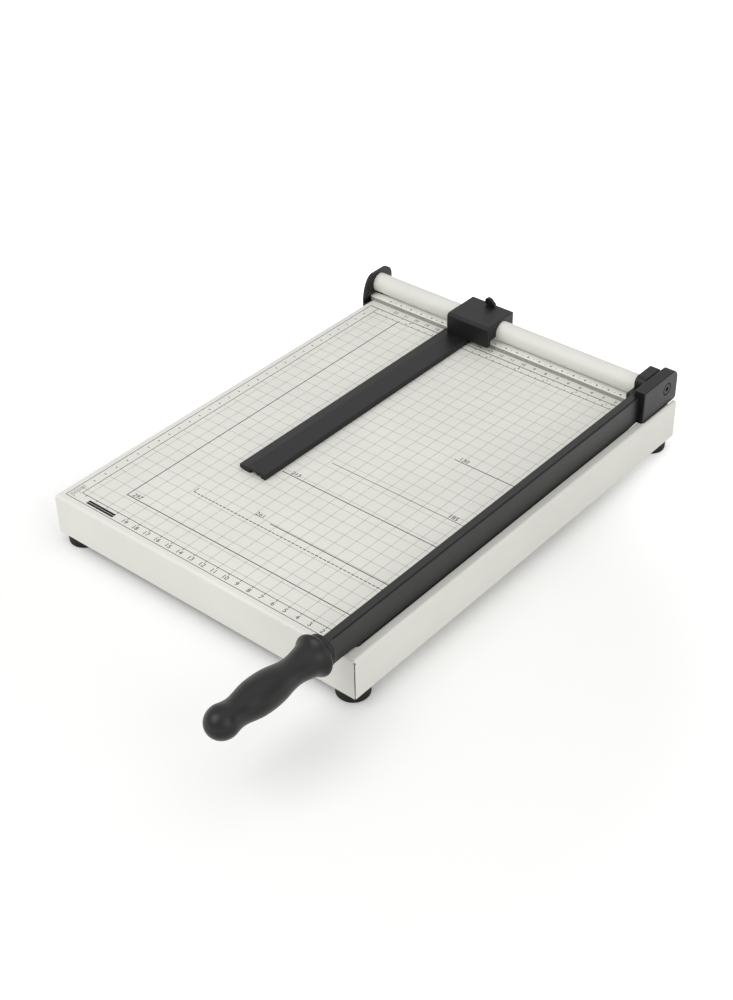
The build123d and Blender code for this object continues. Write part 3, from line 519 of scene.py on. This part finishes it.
def print_piece(mesh, name, ink):
    """Put a bmesh of print into a named object at the origin that rides on the base."""
    data = bpy.data.meshes.new(name)
    mesh.to_mesh(data)
    mesh.free()
    data.materials.append(ink)
    piece = bpy.data.objects.new(name, data)
    bpy.context.scene.collection.objects.link(piece)
    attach(piece, "base")


def grid_places(start, end, step):
    """Return the places of the squares' lines from start down to end."""
    places = [start - count * step for count in range(FIRST_LINE, int((start - end) / step) + 1)]
    return [place for place in places if place > end + CLEAR_SHARE * step]


def lay_out(sizes):
    """Return where the print lies: its heights, the lines around it and the squares' lines."""
    bed = SimpleNamespace()
    bed.low, bed.high = TRAY_HIGH.z - sizes.sink, TRAY_HIGH.z + sizes.rise
    bed.stop = FENCE_LOW.y
    bed.left, bed.front = TRAY_LOW.x + sizes.rim, TRAY_LOW.y + sizes.rim
    bed.inner_left, bed.inner_front = bed.left + sizes.band, bed.front + sizes.band
    bed.right = EDGE_X - sizes.edge_margin
    bed.rear_bold, bed.rear_thin = bed.stop - sizes.rear_bold, bed.stop - sizes.rear_thin
    bed.columns = grid_places(EDGE_X, bed.inner_left, sizes.square)
    bed.rows = grid_places(bed.stop, bed.inner_front, sizes.square)
    return bed


def frame_lines(sizes, bed):
    """Return the lines that frame the rules, each as start, end and width."""
    thin, bold = sizes.thin_line, sizes.bold_line
    return [
        ((bed.left, bed.front), (bed.right, bed.front), thin),
        ((bed.inner_left, bed.inner_front), (bed.right, bed.inner_front), thin),
        ((bed.left, bed.front), (bed.left, bed.rear_bold), thin),
        ((bed.inner_left, bed.inner_front), (bed.inner_left, bed.rear_bold), thin),
        ((bed.inner_left, bed.rear_thin), (bed.right, bed.rear_thin), thin),
        ((bed.left, bed.rear_bold), (bed.right, bed.rear_bold), bold),
    ]


def format_lines(sizes, bed):
    """Return the format lines, the side of the largest one and the dashed line."""
    bold = sizes.bold_line
    lines = []
    for span, reach, weight in FORMATS:
        y = bed.stop - span * MM
        lines.append(((EDGE_X - reach * MM, y), (bed.right, y), weight * bold))
    span, reach, weight = FORMATS[0]
    corner = EDGE_X - reach * MM
    lines.append(((corner, bed.stop - span * MM), (corner, bed.rear_thin), weight * bold))
    span, reach = DASHED_FORMAT
    corner, y = EDGE_X - reach * MM, bed.stop - span * MM
    lines.append(((corner, y), (corner, y + UPRIGHT_SHARE * sizes.band), sizes.thin_line))
    stretch = sizes.square / DASHES
    for count in range(round((bed.right - corner) / stretch)):
        start = corner + count * stretch
        lines.append(((start, y), (start + DASH_SHARE * stretch, y), bold))
    return lines


def rule_steps(sizes, bed):
    """Return the steps of the front, rear, inch and left rules."""
    thin, tick = sizes.thin_line, sizes.tick
    lines = []
    for x in bed.columns:
        for y in (bed.inner_front, bed.rear_bold):
            lines.append(((x, y - tick), (x, y), thin))
    for count in range(1, INCH_STEPS * (INCH_LAST + 1)):
        x = EDGE_X - count * sizes.inch / INCH_STEPS
        reach = tick if count % INCH_STEPS else WHOLE_INCH_SHARE * tick
        lines.append(((x, bed.rear_thin), (x, bed.rear_thin + reach), thin))
    middle = bed.left + sizes.band / 2
    for y in bed.rows:
        lines.append(((middle - tick / 2, y), (middle + tick / 2, y), sizes.bold_line))
    return lines


def corner_marks(sizes, bed):
    """Return the plain block and the short millimetre scale in the front left corner."""
    lines = []
    for share in BLOCK_ROW_SHARES:
        y = bed.front + share * sizes.band
        start, end = bed.left + sizes.block_start, bed.left + sizes.block_end
        lines.append(((start, y), (end, y), sizes.block_row))
    start = bed.left + sizes.scale_inset
    for count in range(SCALE_MARKS):
        y = bed.front + sizes.scale_start + count * sizes.scale_step
        reach = sizes.scale_short if count % SCALE_GROUP else sizes.scale_long
        lines.append(((start, y), (start + reach, y), sizes.scale_line))
    return lines


def rule_numbers(sizes, bed):
    """Return the numbers of the rules and format lines, each as number, height and place."""
    numbers = []
    front_y = bed.front + FRONT_NUMBER_SHARE * sizes.band
    for count in range(FIRST_LINE, FRONT_LAST + 1):
        numbers.append((count, sizes.digit, (EDGE_X - count * sizes.square, front_y)))
    rear_y = (bed.stop + bed.rear_bold) / 2
    for count in range(FIRST_LINE, REAR_LAST + 1):
        numbers.append((count, sizes.small_digit, (EDGE_X - count * sizes.square, rear_y)))
    inch_y = bed.rear_bold - sizes.tick - sizes.inch_digit / 2
    for count in range(1, INCH_LAST + 1):
        x = EDGE_X - count * sizes.inch + sizes.inch_digit
        numbers.append((count, sizes.inch_digit, (x, inch_y)))
    for span, inset in FORMAT_NUMBERS:
        place = (EDGE_X - inset * MM, bed.stop - span * MM + sizes.small_digit)
        numbers.append((span, sizes.digit, place))
    return numbers


class CUTTER_OT_bed_print(bpy.types.Operator):
    """Print squares, rules and format lines on the bed, and marks on the fence"""

    bl_idname = "cutter.bed_print"
    bl_label = "Print the bed"

    def execute(self, context):
        sizes = context.scene.cutter_print
        colours = context.scene.cutter_colours
        ink = print_ink("dark_screen_ink", colours.ink)
        pale = print_ink("pale_screen_ink", colours.pale_ink)
        bed = lay_out(sizes)

        squares = bmesh.new()
        lines = [((x, bed.inner_front), (x, bed.rear_thin)) for x in bed.columns]
        lines += [((bed.inner_left, y), (bed.right, y)) for y in bed.rows]
        for start, end in lines:
            stroke(squares, start, end, sizes.grid_line, bed.low, bed.high)
        print_piece(squares, "bed_squares", pale)

        rules = bmesh.new()
        # The dark lines are a little thicker, so that they cover the squares' lines.
        cover = bed.high + sizes.rise / 2
        for part in (frame_lines, format_lines, rule_steps, corner_marks):
            for start, end, width in part(sizes, bed):
                stroke(rules, start, end, width, bed.low, cover)
        thick, middle = bed.high - bed.low, (bed.low + bed.high) / 2
        for number, height, place in rule_numbers(sizes, bed):
            numeral(rules, str(number), height, thick, (*place, middle))
        print_piece(rules, "bed_rules", ink)

        marks = bmesh.new()
        low, high = FENCE_HIGH.z - sizes.sink, FENCE_HIGH.z + sizes.rise
        y = bed.stop + sizes.fence_marks
        half, thin, bold = sizes.square / 2, sizes.thin_line, sizes.bold_line
        for x in bed.columns:
            stroke(marks, (x - bold, y), (x + bold, y), 2 * bold, low, high)
            stroke(marks, (x + half - thin / 2, y), (x + half + thin / 2, y), 2 * thin, low, high)
        print_piece(marks, "fence_marks", ink)
        return {"FINISHED"}


class CUTTER_OT_mouldings(bpy.types.Operator):
    """Finish the moulded pieces and the feet"""

    bl_idname = "cutter.mouldings"
    bl_label = "Finish the mouldings"

    def execute(self, context):
        colours = context.scene.cutter_colours
        give(
            moulded_plastic(
                "moulded_black_abs", colours.black, grain=0.6, rough=(0.38, 0.50), spread=0.15
            ),
            "left_end_plate", "pivot_bracket", "root_block", "clamp_block", "press_arm",
            "lock_lever",
        )
        give(
            moulded_plastic(
                "polished_black_abs", colours.grip, grain=0.8, rough=(0.27, 0.39), spread=0.15,
                bump=0.1,
            ),
            "handle_grip",
        )
        give(
            moulded_plastic(
                "natural_acetal", colours.acetal, grain=0.9, rough=(0.30, 0.42), spread=0.03
            ),
            "slide_bush", "thrust_washer",
        )
        give(
            moulded_plastic(
                "moulded_rubber", colours.rubber, grain=0.5, rough=(0.68, 0.80), spread=0.2
            ),
            "foot_front_left", "foot_front_right", "foot_rear_left", "foot_rear_right",
        )
        return {"FINISHED"}


class CUTTER_OT_blades(bpy.types.Operator):
    """Finish the blade arm, the blades and the fasteners"""

    bl_idname = "cutter.blades"
    bl_label = "Finish the arm and the blades"

    def execute(self, context):
        colours = context.scene.cutter_colours
        give(stove_enamel(colours.enamel), "blade_arm")
        give(ground_steel(colours.steel), "fixed_blade", "moving_blade")
        give(
            plated_steel("black_oxide_steel", colours.oxide, rough=(0.32, 0.50)),
            "pivot_bolt", "spring_washer",
        )
        give(
            plated_steel("zinc_plated_steel", colours.zinc, rough=(0.28, 0.46)),
            "foot_screws", "foot_nuts", "fence_screws", "end_plate_screws", "bracket_screws",
            "fixed_blade_screws", "blade_screws", "root_block_screws", "press_arm_screws",
            "rail_tie_bolt",
        )
        return {"FINISHED"}


def seen_directly(tree):
    """Return a factor of 1 for what the camera sees itself, in a mirror or through glass."""
    path = add_node(tree, "ShaderNodeLightPath").outputs
    seen = path["Is Camera Ray"]
    for kind in ("Is Glossy Ray", "Is Transmission Ray"):
        both = add_node(
            tree, "ShaderNodeMath", links={0: seen, 1: path[kind]}, operation="MAXIMUM"
        )
        seen = both.outputs[0]
    return seen


def studio_paper(studio):
    """Matt seamless paper of the floor.

    It keeps the cutter's soft shadow. Where it is seen, a glow that grows away from
    the cutter takes it to white.
    """
    material, tree, shader, place = new_finish("matt_studio_paper")
    shader.inputs["Base Color"].default_value = studio.floor
    shader.inputs["Roughness"].default_value = 0.9
    shader.inputs["Specular IOR Level"].default_value = 0.0
    shader.inputs["Emission Color"].default_value = WHITE
    away = add_node(
        tree, "ShaderNodeVectorMath", {1: studio.shadow_middle}, {0: place},
        operation="DISTANCE",
    )
    glow = add_node(
        tree, "ShaderNodeMapRange",
        {
            "From Min": studio.shadow_reach, "From Max": studio.white_reach,
            "To Min": studio.floor_glow, "To Max": 1.0,
        },
        {"Value": away.outputs["Value"]}, interpolation_type="SMOOTHSTEP",
    )
    seen_glow = add_node(
        tree, "ShaderNodeMath", links={0: glow.outputs["Result"], 1: seen_directly(tree)},
        operation="MULTIPLY",
    )
    tree.links.new(seen_glow.outputs[0], shader.inputs["Emission Strength"])
    return material


def add_floor(scene, studio):
    """Lay the floor, which isn't part of the cutter."""
    ground = bmesh.new()
    bmesh.ops.create_grid(
        ground, x_segments=FLOOR_SQUARES, y_segments=FLOOR_SQUARES, size=FLOOR_HALF
    )
    data = bpy.data.meshes.new("studio_floor")
    ground.to_mesh(data)
    ground.free()
    data.materials.append(studio_paper(studio))
    floor = bpy.data.objects.new("studio_floor", data)
    scene.collection.objects.link(floor)


def add_surroundings(scene, studio):
    """Surround the cutter with even light, and show white where the world itself is seen."""
    world = bpy.data.worlds.new("studio")
    world.use_nodes = True
    scene.world = world
    tree = world.node_tree
    even = add_node(
        tree, "ShaderNodeMapRange", {"To Min": studio.ambient, "To Max": 1.0},
        {"Value": seen_directly(tree)},
    )
    background = tree.nodes["Background"]
    background.inputs["Color"].default_value = WHITE
    tree.links.new(even.outputs["Result"], background.inputs["Strength"])


def add_lamps(scene, studio):
    """Hang the large soft lamps, each turned to its aim."""
    for name, source, side, where, aim in LAMPS:
        lamp = bpy.data.lights.new(name, "AREA")
        lamp.shape = "SQUARE"
        lamp.size = side
        lamp.energy = getattr(studio, source)
        carrier = bpy.data.objects.new(name, lamp)
        carrier.location = where
        facing = Vector(where) - Vector(aim)
        carrier.rotation_euler = facing.to_track_quat("Z", "Y").to_euler()
        scene.collection.objects.link(carrier)


def add_camera(scene, studio):
    """Set up the camera at its angle, looking at its target."""
    lens = bpy.data.cameras.new("studio_camera")
    lens.sensor_fit = "VERTICAL"
    lens.sensor_height = PICTURE_HEIGHT
    lens.lens = studio.lens
    camera = bpy.data.objects.new("studio_camera", lens)
    turn = (
        Matrix.Rotation(studio.azimuth, 4, "Z")
        @ Matrix.Rotation(math.pi / 2 - studio.elevation, 4, "X")
        @ Matrix.Rotation(studio.roll, 4, "Z")
    )
    camera.matrix_world = (
        Matrix.Translation(studio.target) @ turn
        @ Matrix.Translation((0.0, 0.0, studio.distance))
    )
    scene.collection.objects.link(camera)
    scene.camera = camera


class CUTTER_OT_stage(bpy.types.Operator):
    """Set up the floor, the light and the camera"""

    bl_idname = "cutter.stage"
    bl_label = "Set up the studio"

    def execute(self, context):
        scene = context.scene
        scene.view_settings.view_transform = "Standard"
        for add in (add_floor, add_surroundings, add_lamps, add_camera):
            add(scene, scene.cutter_studio)
        return {"FINISHED"}


class CUTTER_PT_panel(bpy.types.Panel):
    """Lists the steps of the paper cutter and their settings"""

    bl_idname = "CUTTER_PT_panel"
    bl_label = "Paper cutter"
    bl_space_type = "VIEW_3D"
    bl_region_type = "UI"
    bl_category = "Cutter"

    def draw(self, context):
        for step in STEPS:
            self.layout.operator(step.bl_idname)
        for group in GROUPS:
            box = self.layout.box()
            settings = getattr(context.scene, group)
            for name in settings.__annotations__:
                box.prop(settings, name)


STEPS = (
    CUTTER_OT_tray,
    CUTTER_OT_bed_print,
    CUTTER_OT_mouldings,
    CUTTER_OT_blades,
    CUTTER_OT_stage,
)
GROUPS = {
    "cutter_print": CutterPrint,
    "cutter_colours": CutterColours,
    "cutter_studio": CutterStudio,
}


def register():
    """Register the classes and hang their settings on the scene."""
    for kind in (*GROUPS.values(), *STEPS, CUTTER_PT_panel):
        bpy.utils.register_class(kind)
    for name, kind in GROUPS.items():
        setattr(bpy.types.Scene, name, bpy.props.PointerProperty(type=kind))


def unregister():
    """Take the settings and the classes away again."""
    for name in GROUPS:
        delattr(bpy.types.Scene, name)
    for kind in reversed((*GROUPS.values(), *STEPS, CUTTER_PT_panel)):
        bpy.utils.unregister_class(kind)


def main():
    """Build the cutter step by step."""
    register()
    bpy.ops.cutter.tray()
    bpy.ops.cutter.bed_print()
    bpy.ops.cutter.mouldings()
    bpy.ops.cutter.blades()
    bpy.ops.cutter.stage()


if __name__ == "__main__":
    main()
